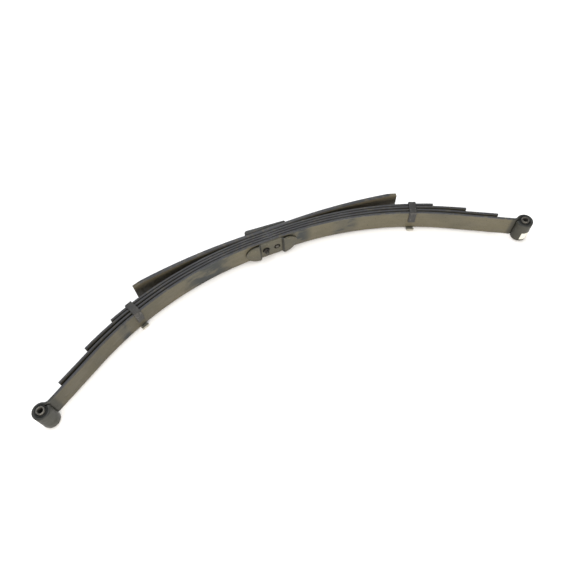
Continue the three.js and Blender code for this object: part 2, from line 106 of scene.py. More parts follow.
# %% [markdown]
# ## The camera
# The camera comes first, so that every later choice is judged from where the spring will be seen:
# above and in front of its left half, looking down along the arch. A lens a little wider than
# normal makes the near eye larger than the far one.

# %% Camera
camera_data = bpy.data.cameras.new("camera")
camera_data.lens = 33.75
camera_data.sensor_width = 36
camera = bpy.data.objects.new("camera", camera_data)
bpy.context.scene.collection.objects.link(camera)
bpy.context.scene.camera = camera
CAMERA_RIGHT = Vector((0.92073, -0.38865, -0.03461))
CAMERA_UP = Vector((0.35120, 0.78682, 0.50751))
CAMERA_BACK = Vector((-0.17002, -0.47944, 0.86095))
CAMERA_FROM_SEAT = Vector((-247.4, -805.6, 1231.0))
HEADING = Matrix.Rotation(0.0119, 3, "Z")
axes = Matrix((HEADING @ CAMERA_RIGHT, HEADING @ CAMERA_UP, HEADING @ CAMERA_BACK)).transposed()
place = HEADING @ CAMERA_FROM_SEAT + Vector((SEAT_X, SEAT_Y, BASE_Z))
camera.matrix_world = Matrix.Translation(place * MM) @ axes.to_4x4()
print("camera at", [round(v, 3) for v in camera.location])

# %% [markdown]
# ## The room
# The spring lies on a plain white table under broad, soft light. A large sheet of near-white
# paper gives the floor, and three area lamps do the lighting: a wide one overhead, a low, warm
# one from the hollow side that lights the leaves' faces, and a weaker one behind that fills the
# other side.

# %% Floor and lamps
def deselect():
    if bpy.context.object and bpy.context.object.mode != "OBJECT":
        bpy.ops.object.mode_set(mode="OBJECT")
    bpy.ops.object.select_all(action="DESELECT")


def lamp(name, location, target, size, watts, colour):
    deselect()
    bpy.ops.object.light_add(type="AREA", location=location)
    light = bpy.context.object
    light.name = name
    light.data.size = size
    light.data.energy = watts
    light.data.color = colour
    light.rotation_euler = (Vector(target) - Vector(location)).to_track_quat("-Z", "Y").to_euler()
    return light


deselect()
bpy.ops.mesh.primitive_plane_add(size=12, location=(0, 0, cad_low.z - 0.0005))
floor = bpy.context.object
floor.name = "table"
paper = bpy.data.materials.new("white_paper")
paper.use_nodes = True
paper_shader = paper.node_tree.nodes["Principled BSDF"]
paper_shader.inputs["Base Color"].default_value = (0.95, 0.95, 0.95, 1)
paper_shader.inputs["Roughness"].default_value = 0.9
floor.data.materials.append(paper)

world = bpy.data.worlds.new("soft_room")
bpy.context.scene.world = world
world.use_nodes = True
world.node_tree.nodes["Background"].inputs["Color"].default_value = (0.98, 0.99, 1, 1)
world.node_tree.nodes["Background"].inputs["Strength"].default_value = 0.55
lamp("overhead", (-0.2, 0.5, 2.2), (0, 0, 0), 2.4, 46, (0.97, 0.985, 1.0))
lamp("hollow_side", (-0.25, -2.4, 0.75), (0, 0.05, 0), 1.6, 108, (1.0, 0.93, 0.84))
lamp("back_fill", (0.5, 2.4, 0.9), (0, 0.05, 0), 1.6, 42, (1.0, 0.98, 0.96))
bpy.context.scene.view_settings.view_transform = "Standard"
print("room ready")

# %% [markdown]
# ## The curve of the pack
# Every leaf follows the main leaf at its own distance. Each arm of the main leaf is a flat seat,
# then one long arc, then a straight run to the eye. So one function gives a point anywhere in the
# pack from two numbers: how far along the hollow face, and how far out from it. The leaves are
# tight together at the seat and open a little towards their tips, which a power law describes
# well.

# %% Points in the pack
def pack_point(distance, offset):
    end = LEFT if distance < 0 else RIGHT
    run = abs(distance)
    angle = min(max(run - SEAT_HALF, 0), end["arc_end"] - SEAT_HALF) / end["radius"]
    straight = max(run - end["arc_end"], 0)
    reach = min(run, SEAT_HALF) + end["radius"] * math.sin(angle) + straight * math.cos(angle)
    drop = end["radius"] * (1 - math.cos(angle)) + straight * math.sin(angle)
    x = end["sign"] * (reach + offset * math.sin(angle))
    return x, -drop + offset * math.cos(angle), -end["sign"] * angle


def lift(distance, tip, most):
    return most * (max(abs(distance) - LIFT_START, 0) / (tip - LIFT_START)) ** LIFT_POWER


def inner_offset(leaf, distance):
    end = LEFT if distance < 0 else RIGHT
    steps = [
        lift(distance, end["second"], end["lift"][0]),
        lift(distance, end["third"], end["lift"][1]),
        lift(distance, FOURTH_TIP, FOURTH_LIFT),
    ]
    return (THICK + FIT) * leaf + sum(steps[:leaf])


tip_place = pack_point(FOURTH_TIP, inner_offset(3, FOURTH_TIP))
print("tip of the fourth leaf", [round(v, 1) for v in tip_place])

# %% [markdown]
# ## Bar stock
# A real leaf starts as a length of rolled bar with rounded long edges, and so does this one. A
# cube gives the first slice. Its four long edges are bevelled, and then its end face is pulled
# out again and again, one slice at a time, with a change of size wherever the bar tapers. The bar
# gets its flat UV map while it is still straight, so that a streak later follows the bend. It
# also keeps an attribute that says how far through the thickness each point lies, for the finish
# to use.

# %% Rolling a straight bar
def hold(piece):
    deselect()
    bpy.context.view_layer.objects.active = piece
    piece.select_set(True)


def edit(piece, mode="FACE"):
    hold(piece)
    bpy.ops.object.mode_set(mode="EDIT")
    bpy.ops.mesh.select_mode(type=mode)
    bpy.ops.mesh.select_all(action="DESELECT")


def take_all():
    bpy.ops.mesh.select_all(action="SELECT")


def lay_flat_uv():
    take_all()
    bpy.ops.uv.cube_project(cube_size=1.0)


def select_where(piece, kind, test):
    for item in getattr(bmesh.from_edit_mesh(piece.data), kind):
        if test(item):
            item.select_set(True)
    bmesh.update_edit_mesh(piece.data)


def finish_edit(piece):
    bpy.ops.object.mode_set(mode="OBJECT")
    return piece


def block(name, centre, size):
    deselect()
    bpy.ops.mesh.primitive_cube_add(size=1, location=Vector(centre) * MM)
    made = bpy.context.object
    made.name = name
    made.scale = Vector(size) * MM
    bpy.ops.object.transform_apply(location=True, rotation=True, scale=True)
    return made


def modify(piece, kind, **settings):
    """Adds a modifier with its settings and applies it at once."""
    hold(piece)
    modifier = piece.modifiers.new("change", kind)
    for key, value in settings.items():
        setattr(modifier, key, value)
    bpy.ops.object.modifier_apply(modifier=modifier.name)
    return piece


def rolled_bar(name, stations, thick, width, edge, edge_steps, sizes, anchor=0):
    """A bar along X through the stations; sizes gives each one's (y, z) scale about Y = anchor."""
    first = stations[1] - stations[0]
    bar = block(name, (stations[0] + first / 2, 0, 0), (first, thick, width))
    edit(bar, "EDGE")

    def runs_along(e):
        return abs((e.verts[0].co - e.verts[1].co).normalized().x) > 0.9

    select_where(bar, "edges", runs_along)
    bpy.ops.mesh.bevel(offset=edge * MM, segments=edge_steps, profile=0.5)
    finish_edit(bar)
    edit(bar)
    select_where(bar, "faces", lambda f: f.normal.x > 0.99)
    scale = sizes[1]
    middle = (0, anchor * MM, 0)
    bpy.ops.transform.resize(value=(1, *scale), center_override=middle)
    for i in range(2, len(stations)):
        step = (stations[i] - stations[i - 1]) * MM
        bpy.ops.mesh.extrude_region_move(TRANSFORM_OT_translate={"value": (step, 0, 0)})
        change = (1, sizes[i][0] / scale[0], sizes[i][1] / scale[1])
        scale = sizes[i]
        bpy.ops.transform.resize(value=change, center_override=middle)
    bpy.ops.mesh.select_all(action="DESELECT")
    start = stations[0] * MM
    select_where(bar, "verts", lambda v: abs(v.co.x - start) < 1e-7)
    bpy.ops.transform.resize(value=(1, *sizes[0]), center_override=middle)
    lay_flat_uv()
    finish_edit(bar)
    through = bar.data.attributes.new("through", "FLOAT", "POINT")
    for vertex, value in zip(bar.data.vertices, through.data):
        value.value = vertex.co.y / (thick / 2 * MM)
    return bar


def spread(low, high, step):
    count = max(1, math.ceil((high - low) / step))
    return [low + (high - low) * i / count for i in range(count + 1)]


# %% [markdown]
# ## Bending
# The bar is bent round a former. In Blender the former is a poly curve and the bending is a Curve
# modifier, applied at once. The curve's points are the middle line of the leaf, close enough
# together that the bend is smooth, and the bar's own X tells the modifier how far along it each
# slice belongs.

# %% Bending a bar along a line
def former(name, points):
    curve = bpy.data.curves.new(name, "CURVE")
    curve.dimensions = "3D"
    curve.twist_mode = "Z_UP"
    line = curve.splines.new("POLY")
    line.points.add(len(points) - 1)
    for point, place in zip(line.points, points):
        point.co = (place[0] * MM, place[1] * MM, place[2] * MM, 1)
    holder = bpy.data.objects.new(name, curve)
    bpy.context.scene.collection.objects.link(holder)
    return holder


def bend(bar, points):
    path = former(bar.name + "_former", points)
    modify(bar, "CURVE", object=path, deform_axis="POS_X")
    bpy.data.objects.remove(path, do_unlink=True)
    return bar


def line_length(points):
    return sum(math.dist(a, b) for a, b in zip(points, points[1:]))


def shape_with(piece, tool, operation):
    modify(piece, "BOOLEAN", operation=operation, solver="EXACT", object=tool)
    bpy.data.objects.remove(tool, do_unlink=True)


def drill(piece, cutters):
    for cutter in cutters:
        shape_with(piece, cutter, "DIFFERENCE")
    edit(piece)
    take_all()
    bpy.ops.mesh.remove_doubles(threshold=5e-6)
    return finish_edit(piece)


def smooth(piece):
    hold(piece)
    bpy.ops.object.shade_smooth_by_angle(angle=math.radians(35))


def seated(points):
    """Points about the seat, put in the frame."""
    return [(x + SEAT_X, y + SEAT_Y, z + BASE_Z) for x, y, z in points]


def drill_rod(radius, x, y, z, length, turn=0.0):
    """A cutter lying along Y, turned about Z, centred on a place in the frame."""
    deselect()
    bpy.ops.mesh.primitive_cylinder_add(
        vertices=48,
        radius=radius * MM,
        depth=length * MM,
        location=(x * MM, y * MM, z * MM),
        rotation=(math.pi / 2, 0, turn),
    )
    return bpy.context.object


print("bench ready")

# %% [markdown]
# ## The main leaf
# The main leaf carries both eyes. At each end the bar first bends back over a short neck and is
# then rolled round until its cut end almost meets the leaf again, so that the eye sits in line
# with the leaf and the load doesn't pull it open. The former's line is drawn the same way: seat,
# arc, straight, neck, roll.

# %% Main leaf
def eye_line(end):
    """The middle line of a neck and its eye, from the leaf outwards, as (along, offset) pairs."""
    half = THICK / 2
    roll = EYE_BORE + half
    neck_height = half + NECK_RADIUS
    across = NECK_RADIUS + roll
    rise = neck_height - EYE_OFFSET
    neck_start = end["eye"] - math.sqrt(across**2 - rise**2)
    neck_turn = math.acos(rise / across)
    line = []
    for angle in spread(-math.pi / 2, -math.pi / 2 + neck_turn, math.radians(4)):
        along = neck_start + NECK_RADIUS * math.cos(angle)
        line.append((along, neck_height + NECK_RADIUS * math.sin(angle)))
    for angle in spread(0, math.pi / 2 + neck_turn + math.radians(172), math.radians(3))[1:]:
        turned = math.pi / 2 + neck_turn - angle
        line.append((end["eye"] + roll * math.cos(turned), EYE_OFFSET + roll * math.sin(turned)))
    return neck_start, line


left_neck, left_eye = eye_line(LEFT)
right_neck, right_eye = eye_line(RIGHT)
arms = [(s, THICK / 2) for s in spread(-left_neck, right_neck, 4)[1:-1]]
middle_line = [(-along, offset) for along, offset in reversed(left_eye)] + arms + right_eye
main_points = seated([(*pack_point(s, o)[:2], MID) for s, o in middle_line])
eye_run = line_length(main_points[: len(left_eye)])
main_run = line_length(main_points)
far_eye = main_run - line_length(main_points[-len(right_eye):])
main_stations = (
    [0, 0.5] + spread(0.5, eye_run, 1.6)[1:]
    + spread(eye_run, far_eye, 11)[1:]
    + spread(far_eye, main_run - 0.5, 1.6)[1:] + [main_run]
)
END_SIZE = (1 - 1.0 / THICK, 1 - 1.0 / WIDTH)


def even(stations, ends=(1, 1)):
    """Full size at every station but the first and the last."""
    return [ends] + [(1, 1)] * (len(stations) - 2) + [ends]


main_sizes = even(main_stations, END_SIZE)
main_leaf = rolled_bar("main_leaf_piece", main_stations, THICK, WIDTH, EDGE, 4, main_sizes)
bend(main_leaf, main_points)
print("main leaf", len(main_leaf.data.polygons), "faces, bar", round(main_run), "mm long")

# %% Compare a piece with its node
def compare(piece):
    """Prints how far a piece's box stands from the box of the node it is named after."""
    node = piece.name.removesuffix("_piece")
    low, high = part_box(node)
    corners = [v.co for v in piece.data.vertices]
    mine_low = [min(c[i] for c in corners) for i in range(3)]
    mine_high = [max(c[i] for c in corners) for i in range(3)]
    gaps = [round((a - b) / MM, 2) for a, b in zip(mine_low + mine_high, list(low) + list(high))]
    print(piece.name, "against", node, gaps)


compare(main_leaf)

# %% [markdown]
# ## The three leaves behind it
# The second, third and fourth leaves are plain bars with square-cut ends. Each is bent to the
# line that the pack gives it, so it touches its neighbour at the seat and stands off a little at
# its tips.

# %% Second, third and fourth leaves
def full_leaf(name, leaf, left_tip, right_tip):
    line = [(s, inner_offset(leaf, s) + THICK / 2) for s in spread(-left_tip, right_tip, 4)]
    points = seated([(*pack_point(s, o)[:2], MID) for s, o in line])
    run = line_length(points)
    stations = [0] + spread(0.5, run - 0.5, 11) + [run]
    sizes = even(stations, END_SIZE)
    return bend(rolled_bar(name, stations, THICK, WIDTH, EDGE, 4, sizes), points)


second_leaf = full_leaf("second_leaf_piece", 1, LEFT["second"], RIGHT["second"])
third_leaf = full_leaf("third_leaf_piece", 2, LEFT["third"], RIGHT["third"])
fourth_leaf = full_leaf("fourth_leaf_piece", 3, FOURTH_TIP, FOURTH_TIP)
for piece in (second_leaf, third_leaf, fourth_leaf):
    compare(piece)

# %% [markdown]
# ## The overload leaf
# The last leaf is thicker and much flatter, so it only takes load when the others have bent down
# to it. It thins towards its tips, and its four corners are trimmed off. The taper is drawn into
# the straight bar, the corners are cut with four flat planes, and then the bar is bent.

# %% Overload leaf
LOAD_HALF = 380
LOAD_SEAT = 75
LOAD_RADIUS = 1555
LOAD_THICK = 12.3
LOAD_TIP = 9.4
TRIM_LONG = 31
TRIM_DEEP = 6
LOAD_FACE = 42.3


def load_point(distance, offset):
    angle = max(abs(distance) - LOAD_SEAT, 0) / LOAD_RADIUS
    reach = min(abs(distance), LOAD_SEAT) + (LOAD_RADIUS + offset) * math.sin(angle)
    y = LOAD_FACE - LOAD_RADIUS * (1 - math.cos(angle)) + offset * math.cos(angle)
    return math.copysign(reach, distance), y


load_line = [load_point(s, -LOAD_THICK / 2) for s in spread(-LOAD_HALF, LOAD_HALF, 4)]
load_points = seated([(x, y, MID) for x, y in load_line])
load_run = line_length(load_points)
load_stations = [0] + spread(0.5, load_run - 0.5, 11) + [load_run]


def load_size(station):
    arm = max(abs(station - load_run / 2) - LOAD_SEAT, 0) / (load_run / 2 - LOAD_SEAT)
    return 1 + (LOAD_TIP / LOAD_THICK - 1) * arm, 1


load_sizes = [load_size(s) for s in load_stations]
overload_leaf = rolled_bar(
    "overload_leaf_piece", load_stations, LOAD_THICK, WIDTH, EDGE, 4, load_sizes, LOAD_THICK / 2
)
for end in (-1, 1):
    for edge in (-1, 1):
        edit(overload_leaf)
        take_all()
        trim_x = load_run / 2 + end * (load_run / 2 - TRIM_LONG)
        corner = Vector((trim_x, 0, edge * MID)) * MM
        bpy.ops.mesh.bisect(
            plane_co=corner,
            plane_no=Vector((end * TRIM_DEEP, 0, edge * TRIM_LONG)).normalized(),
            use_fill=True,
            clear_outer=True,
        )
        finish_edit(overload_leaf)


def ease_edges(piece, width, degrees, segments):
    turn = math.radians(degrees)
    settings = dict(width=width * MM, segments=segments, limit_method="ANGLE", angle_limit=turn)
    return modify(piece, "BEVEL", **settings)


bend(ease_edges(overload_leaf, 0.5, 50, 2), load_points)
compare(overload_leaf)

# %% [markdown]
# ## Holes through the pack
# One bolt clamps the pack, and one dowel keeps its leaves in line. Both pass through every leaf
# at the seat. A rod the size of each hole is subtracted from each leaf. At the middle of the pack
# the upper edges also carry a shallow ground scallop, a maker's mark that shows where the leaves
# line up.

# %% Seat holes and the alignment mark
HOLE_SPACING = 32
SADDLE_SHIFT = -2
BOLT_X = SADDLE_SHIFT - HOLE_SPACING / 2
DOWEL_X = SADDLE_SHIFT + HOLE_SPACING / 2
BOLT_RADIUS = 5.55
DOWEL_RADIUS = 5
MARK_RADIUS = 26
MARK_DEPTH = 1.1
PACK_FRONT = -6
PACK_BACK = 60


def seat_rod(radius, x, y_from, y_to, z=MID):
    middle = (y_from + y_to) / 2
    return drill_rod(radius, x + SEAT_X, middle + SEAT_Y, z + BASE_Z, y_to - y_from)


for leaf in (main_leaf, second_leaf, third_leaf, fourth_leaf, overload_leaf):
    cutters = [
        seat_rod(BOLT_RADIUS + FIT, BOLT_X, PACK_FRONT, PACK_BACK),
        seat_rod(DOWEL_RADIUS + FIT, DOWEL_X, PACK_FRONT, PACK_BACK),
    ]
    if leaf is not overload_leaf:
        mark_height = WIDTH + MARK_RADIUS - MARK_DEPTH
        cutters.append(seat_rod(MARK_RADIUS, 0, PACK_FRONT, PACK_BACK, mark_height))
    drill(leaf, cutters)
    print(leaf.name, "drilled,", len(leaf.data.polygons), "faces")

# %% [markdown]
# ## Turned pieces
# The bolt, the dowel, the rivets, the pads and the bushings are all turned. Each starts as a
# single point that is drawn out into half of its outline and then spun round the axis, as on a
# lathe. Outlines that start and end on the axis close into solids, and outlines that return to
# their start make rings.

# %% A lathe
def turned(name, outline, steps=48):
    """A piece turned about Z from (radius, height) pairs."""
    deselect()
    bpy.ops.mesh.primitive_plane_add(size=0.01, location=(0, 0, 0))
    piece = bpy.context.object
    piece.name = name
    edit(piece, "VERT")
    take_all()
    bpy.ops.mesh.merge(type="CENTER")
    radius, height = outline[0]
    bpy.ops.transform.translate(value=(radius * MM, 0, height * MM))
    for (r0, h0), (r1, h1) in zip(outline, outline[1:]):
        move = ((r1 - r0) * MM, 0, (h1 - h0) * MM)
        bpy.ops.mesh.extrude_vertices_move(TRANSFORM_OT_translate={"value": move})
    take_all()
    bpy.ops.mesh.spin(steps=steps, angle=2 * math.pi, center=(0, 0, 0), axis=(0, 0, 1))
    take_all()
    bpy.ops.mesh.remove_doubles(threshold=1e-6)
    bpy.ops.mesh.dissolve_degenerate(threshold=1e-7)
    take_all()
    bpy.ops.mesh.normals_make_consistent(inside=False)
    lay_flat_uv()
    return finish_edit(piece)


def put(piece, x, y, z, turn=None):
    """Sets a finished piece in the frame, laid along Y and turned about Z if a turn is given."""
    hold(piece)
    piece.location = (x * MM, y * MM, z * MM)
    if turn is not None:
        piece.rotation_euler = (-math.pi / 2, 0, turn)
    bpy.ops.object.transform_apply(location=True, rotation=True, scale=True)
    return piece


def on_seat(piece, x):
    return put(piece, x + SEAT_X, SEAT_Y, MID + BASE_Z, 0)


# %% [markdown]
# ## Centre bolt, nut and dowel
# The bolt's round head sits in a counterbore of the wedge and stands out to find the axle pad.
# Its threaded end comes through the saddle plate and takes the nut. The thread is turned as a row
# of fine rings, which is what a thread looks like at this size. The dowel is a plain pin with
# chamfered ends.

# %% Bolt, nut and dowel
WEDGE_THICK = 12.4
WEDGE_THIN = 4.2


def wedge_face(x):
    part = (x - WEDGE_LEFT) / (WEDGE_RIGHT - WEDGE_LEFT)
    return WEDGE_INNER + WEDGE_THICK + (WEDGE_THIN - WEDGE_THICK) * part


BOLT_TAIL = 18.5
THREAD_TOP = 2
PITCH = 1.5
HEAD_RADIUS = 8
HEAD_SEAT = wedge_face(BOLT_X) - 3 + FIT
HEAD_TOP = HEAD_SEAT + 10
DOWEL_PROUD = 6.6
DOWEL_TOP = wedge_face(DOWEL_X) - 3.5
THREAD_DEEP = 0.8
thread_start = -BOLT_TAIL + THREAD_DEEP
bolt_outline = [(0, -BOLT_TAIL), (BOLT_RADIUS - THREAD_DEEP - 0.4, -BOLT_TAIL)]
bolt_outline += [(BOLT_RADIUS - THREAD_DEEP, thread_start)]
for turn in range(int((THREAD_TOP - thread_start) / PITCH)):
    height = thread_start + turn * PITCH
    bolt_outline += [(BOLT_RADIUS, height + PITCH * 0.45), (BOLT_RADIUS, height + PITCH * 0.55)]
    bolt_outline += [(BOLT_RADIUS - THREAD_DEEP, height + PITCH)]
bolt_outline += [(BOLT_RADIUS, THREAD_TOP + 1.5), (BOLT_RADIUS, HEAD_SEAT)]
bolt_outline += [(HEAD_RADIUS, HEAD_SEAT)]
bolt_outline += [(HEAD_RADIUS, HEAD_TOP - 1.8), (HEAD_RADIUS - 0.5, HEAD_TOP - 0.6)]
bolt_outline += [(HEAD_RADIUS - 1.7, HEAD_TOP), (0, HEAD_TOP)]
centre_bolt = on_seat(turned("centre_bolt_piece", bolt_outline), BOLT_X)

dowel_outline = [(0, -DOWEL_PROUD), (DOWEL_RADIUS - 1, -DOWEL_PROUD)]
dowel_outline += [(DOWEL_RADIUS, 1 - DOWEL_PROUD), (DOWEL_RADIUS, DOWEL_TOP), (0, DOWEL_TOP)]
locating_dowel = on_seat(turned("locating_dowel_piece", dowel_outline), DOWEL_X)

NUT_FLATS = 15.9
NUT_HIGH = 9.5
NUT_CHAMFER = 1.6
nut_corner = NUT_FLATS / math.sqrt(3)
deselect()
bpy.ops.mesh.primitive_cylinder_add(vertices=6, radius=nut_corner * MM, depth=NUT_HIGH * MM)
centre_nut = bpy.context.object
centre_nut.name = "centre_nut_piece"
nut_half = NUT_HIGH / 2
nut_rim = NUT_FLATS / 2 - 0.3
nut_clear = nut_corner + 0.4
nut_cone = [(0, -nut_half), (nut_rim, -nut_half), (nut_clear, NUT_CHAMFER - nut_half)]
nut_cone += [(nut_clear, nut_half - NUT_CHAMFER), (nut_rim, nut_half), (0, nut_half)]
shape_with(centre_nut, turned("nut_blank", nut_cone, 70), "INTERSECT")
put(centre_nut, BOLT_X + SEAT_X, SEAT_Y - FIT - nut_half, MID + BASE_Z, 0)
drill(centre_nut, [seat_rod(BOLT_RADIUS + FIT, BOLT_X, -20, 5)])
for piece in (centre_bolt, centre_nut, locating_dowel):
    compare(piece)

# %% [markdown]
# ## The axle wedge
# A cast wedge between the overload leaf and the axle tips the axle by about four degrees. It
# starts as a block whose far corner edges are pulled down, its two ends are bevelled, and all of
# its edges are eased as a casting's are. The bolt's head sits in a counterbore.

# %% Axle wedge
WEDGE_BEVELS = ((-1, 5.2), (1, 2.3))
wedge_centre = seated([((WEDGE_LEFT + WEDGE_RIGHT) / 2, WEDGE_INNER + WEDGE_THICK / 2, MID)])[0]
wedge_size = (WEDGE_RIGHT - WEDGE_LEFT, WEDGE_THICK, WIDTH)
axle_wedge = block("axle_wedge_piece", wedge_centre, wedge_size)


def thin_corner(v):
    return v.co.y > wedge_centre[1] * MM and v.co.x > SEAT_X * MM


edit(axle_wedge, "VERT")
select_where(axle_wedge, "verts", thin_corner)
bpy.ops.transform.translate(value=(0, (WEDGE_THIN - WEDGE_THICK) * MM, 0))
for side, offset in WEDGE_BEVELS:
    bpy.ops.mesh.select_mode(type="EDGE")
    bpy.ops.mesh.select_all(action="DESELECT")

    def end_edge(e, side=side):
        """An edge across the outer face, near this side's end."""
        outer = all(v.co.y > (SEAT_Y + WEDGE_INNER + 1) * MM for v in e.verts)
        at_end = all(side * (v.co.x / MM - SEAT_X) > WEDGE_RIGHT - 5 for v in e.verts)
        return outer and at_end and abs(e.verts[0].co.z - e.verts[1].co.z) > MID * MM

    select_where(axle_wedge, "edges", end_edge)
    bpy.ops.mesh.bevel(offset=offset * MM, segments=1)
lay_flat_uv()
finish_edit(axle_wedge)
ease_edges(axle_wedge, 0.9, 15, 3)
bore_from = WEDGE_INNER - 5
bore_to = WEDGE_INNER + 30
drill(axle_wedge, [
    seat_rod(BOLT_RADIUS + FIT, BOLT_X, bore_from, bore_to),
    seat_rod(HEAD_RADIUS + FIT, BOLT_X, HEAD_SEAT - FIT, bore_to),
    seat_rod(DOWEL_RADIUS + FIT, DOWEL_X, bore_from, DOWEL_TOP + FIT),
])
compare(axle_wedge)

# %% [markdown]
# ## Bent strip
# The saddle plate and the clips are strip, bent at a few corners. A helper draws the middle line
# of such a strip from its corners, with an arc in each, and the bar is then bent along it as
# before.

# %% The middle line of a bent strip
def rounded_line(corners, radius, steps=8):
    line = [Vector(corners[0])]
    for before, corner, after in zip(corners, corners[1:], corners[2:]):
        corner = Vector(corner)
        back = (Vector(before) - corner).normalized()
        ahead = (Vector(after) - corner).normalized()
        half = back.angle(ahead) / 2
        centre = corner + (back + ahead).normalized() * (radius / math.sin(half))
        start = corner + back * (radius / math.tan(half)) - centre
        sweep = math.pi - 2 * half
        turn = math.copysign(1, back.x * ahead.y - back.y * ahead.x) * -1
        for i in range(steps + 1):
            angle = turn * sweep * i / steps
            line.append(centre + Vector((
                start.x * math.cos(angle) - start.y * math.sin(angle),
                start.x * math.sin(angle) + start.y * math.cos(angle),
            )))
    line.append(Vector(corners[-1]))
    return [(p.x, p.y) for p in line]


def stations_along(line, step):
    """Distances along a line: each of its points, with long straights shared out between."""
    places = [0]
    for a, b in zip(line, line[1:]):
        places += [places[-1] + d for d in spread(0, math.dist(a, b), step)[1:]]
    return places


# %% [markdown]
# ## The saddle plate
# On the hollow side a pressed plate spreads the clamping load. Its middle lies flat, it rises
# over a crest at each end, and two rounded ears slope back down to the leaf. The blank is a bar
# whose width follows the round of the ears, bent over its two crests, with a clearance hole for
# the nut and one for the dowel.

# %% Saddle plate
PLATE_THICK = 4.5
PLATE_WIDE = 59
PLATE_FLAT = 30.5
PLATE_CREST = 35
PLATE_RISE = 7.2
PLATE_REACH = 73
EAR_START = 40
PLATE_BEND = 2.6
PLATE_TIP_GAP = 1.3
flat_y = -(FIT + PLATE_THICK / 2)
plate_corners = [
    (-PLATE_REACH, flat_y - PLATE_TIP_GAP),
    (-PLATE_CREST, flat_y - PLATE_RISE),
    (-PLATE_FLAT, flat_y),
    (PLATE_FLAT, flat_y),
    (PLATE_CREST, flat_y - PLATE_RISE),
    (PLATE_REACH, flat_y - PLATE_TIP_GAP),
]
plate_line = rounded_line(plate_corners, PLATE_BEND)
plate_run = line_length(plate_line)
ear_turns = [math.radians(a) for a in (0, 10, 20, 30, 40, 50, 58, 65, 71, 76, 80, 84)]
ramp = PLATE_REACH - EAR_START
ear_long = PLATE_REACH - PLATE_CREST
ear_scale = math.hypot(ear_long, PLATE_RISE - PLATE_TIP_GAP) / ear_long
left_ear = [ramp * ear_scale * (1 - math.sin(t)) for t in reversed(ear_turns)]
middle_from = left_ear[-1] + 2
bend_places = stations_along(plate_line, 6)
middle_places = [p for p in bend_places if middle_from < p < plate_run - middle_from]
plate_stations = left_ear + middle_places + [plate_run - p for p in reversed(left_ear)]
ear_widths = [math.cos(t) for t in reversed(ear_turns)]
plate_widths = ear_widths + [1] * len(middle_places) + ear_widths[::-1]
plate_sizes = [(1, w) for w in plate_widths]
plate_points = seated([(x + SADDLE_SHIFT, y, MID) for x, y in plate_line])
saddle_plate = rolled_bar(
    "saddle_plate_piece", plate_stations, PLATE_THICK, PLATE_WIDE, 0.9, 3, plate_sizes
)
bend(saddle_plate, plate_points)
drill(saddle_plate, [seat_rod(10, BOLT_X, -20, 5), seat_rod(9, DOWEL_X, -20, 5)])
compare(saddle_plate)

# %% [markdown]
# ## The clips
# A clip keeps the leaves together when the spring rebounds. It is a strap bent round all four
# leaves: one end lies folded down the hollow face, and the other wraps the lower edge and ends in
# a short hook. It is bent flat on the bench, in offset and height, and then stood in its place on
# the pack.

# %% Clips
STRAP_WIDE = 19
STRAP_THICK = 3.8
STRAP_GAP = 0.5
BEND_RADIUS = 4.5
LEG_END = 27
HOOK_REACH = 6.2
HOOK_LEAN = 1.4
HOOK_END = 7.5


def pack_place(distance, offset):
    """A point of the pack as it lies in the frame."""
    x, y, turn = pack_point(distance, offset)
    return x + SEAT_X, y + SEAT_Y, turn


def clip(name, distance):
    out = STRAP_GAP + STRAP_THICK / 2
    back = inner_offset(3, distance) + THICK + out
    corners = [
        (-out, LEG_END),
        (-out, WIDTH + out),
        (back, WIDTH + out),
        (back, -out),
        (-out - HOOK_REACH, -out),
        (-out - HOOK_REACH - HOOK_LEAN, HOOK_END),
    ]
    line = rounded_line(corners, BEND_RADIUS)
    places = stations_along(line, 6)
    places = [places[0], places[0] + 0.8] + places[1:-1] + [places[-1] - 0.8, places[-1]]
    ends = (1 - 1.2 / STRAP_THICK, 1 - 2.4 / STRAP_WIDE)
    strap = rolled_bar(name, places, STRAP_THICK, STRAP_WIDE, 0.9, 3, even(places, ends))
    bend(strap, [(x, y, 0) for x, y in line])
    x, y, turn = pack_place(distance, 0)
    stand = Matrix(((0, 0, 1), (1, 0, 0), (0, 1, 0))).to_4x4()
    spot = Matrix.Translation(Vector((x, y, BASE_Z)) * MM)
    strap.matrix_world = spot @ Matrix.Rotation(turn, 4, "Z") @ stand
    hold(strap)
    bpy.ops.object.transform_apply(location=True, rotation=True, scale=True)
    return strap


def pack_rod(radius, distance, offset, length):
    x, y, turn = pack_place(distance, offset)
    return drill_rod(radius, x, y, MID + BASE_Z, length, turn)


def on_pack(piece, distance, offset):
    x, y, turn = pack_place(distance, offset)
    return put(piece, x, y, MID + BASE_Z, turn)


RIVET_RADIUS = 4
RIVET_HEAD = 7.5
RIVET_HIGH = 3.2
for side, end in ENDS:
    at = end["sign"] * CLIP_AT
    inner = inner_offset(3, at)
    back = inner + THICK + STRAP_GAP + STRAP_THICK / 2
    strap = clip(side + "_clip_piece", at)
    drill(strap, [pack_rod(RIVET_RADIUS + FIT, at, back, 12)])
    drill(fourth_leaf, [pack_rod(RIVET_RADIUS + FIT, at, inner + THICK / 2, 14)])
    head_seat = THICK + STRAP_GAP + STRAP_THICK + FIT
    outline = [(0, 0.4), (RIVET_RADIUS, 0.4), (RIVET_RADIUS, head_seat)]
    for i in range(9):
        turn = i / 8 * math.pi / 2
        outline.append((RIVET_HEAD * math.cos(turn), head_seat + RIVET_HIGH * math.sin(turn)))
    outline[-1] = (0, head_seat + RIVET_HIGH)
    rivet = on_pack(turned(side + "_clip_rivet_piece", outline, 32), at, inner)
    compare(strap)
    compare(rivet)

# %% [markdown]
# ## Tip pads
# A small plastic pad sits in the gap near each tip of the second and third leaves and stops steel
# from rubbing on steel. Its stem is pressed into a hole in the tip.

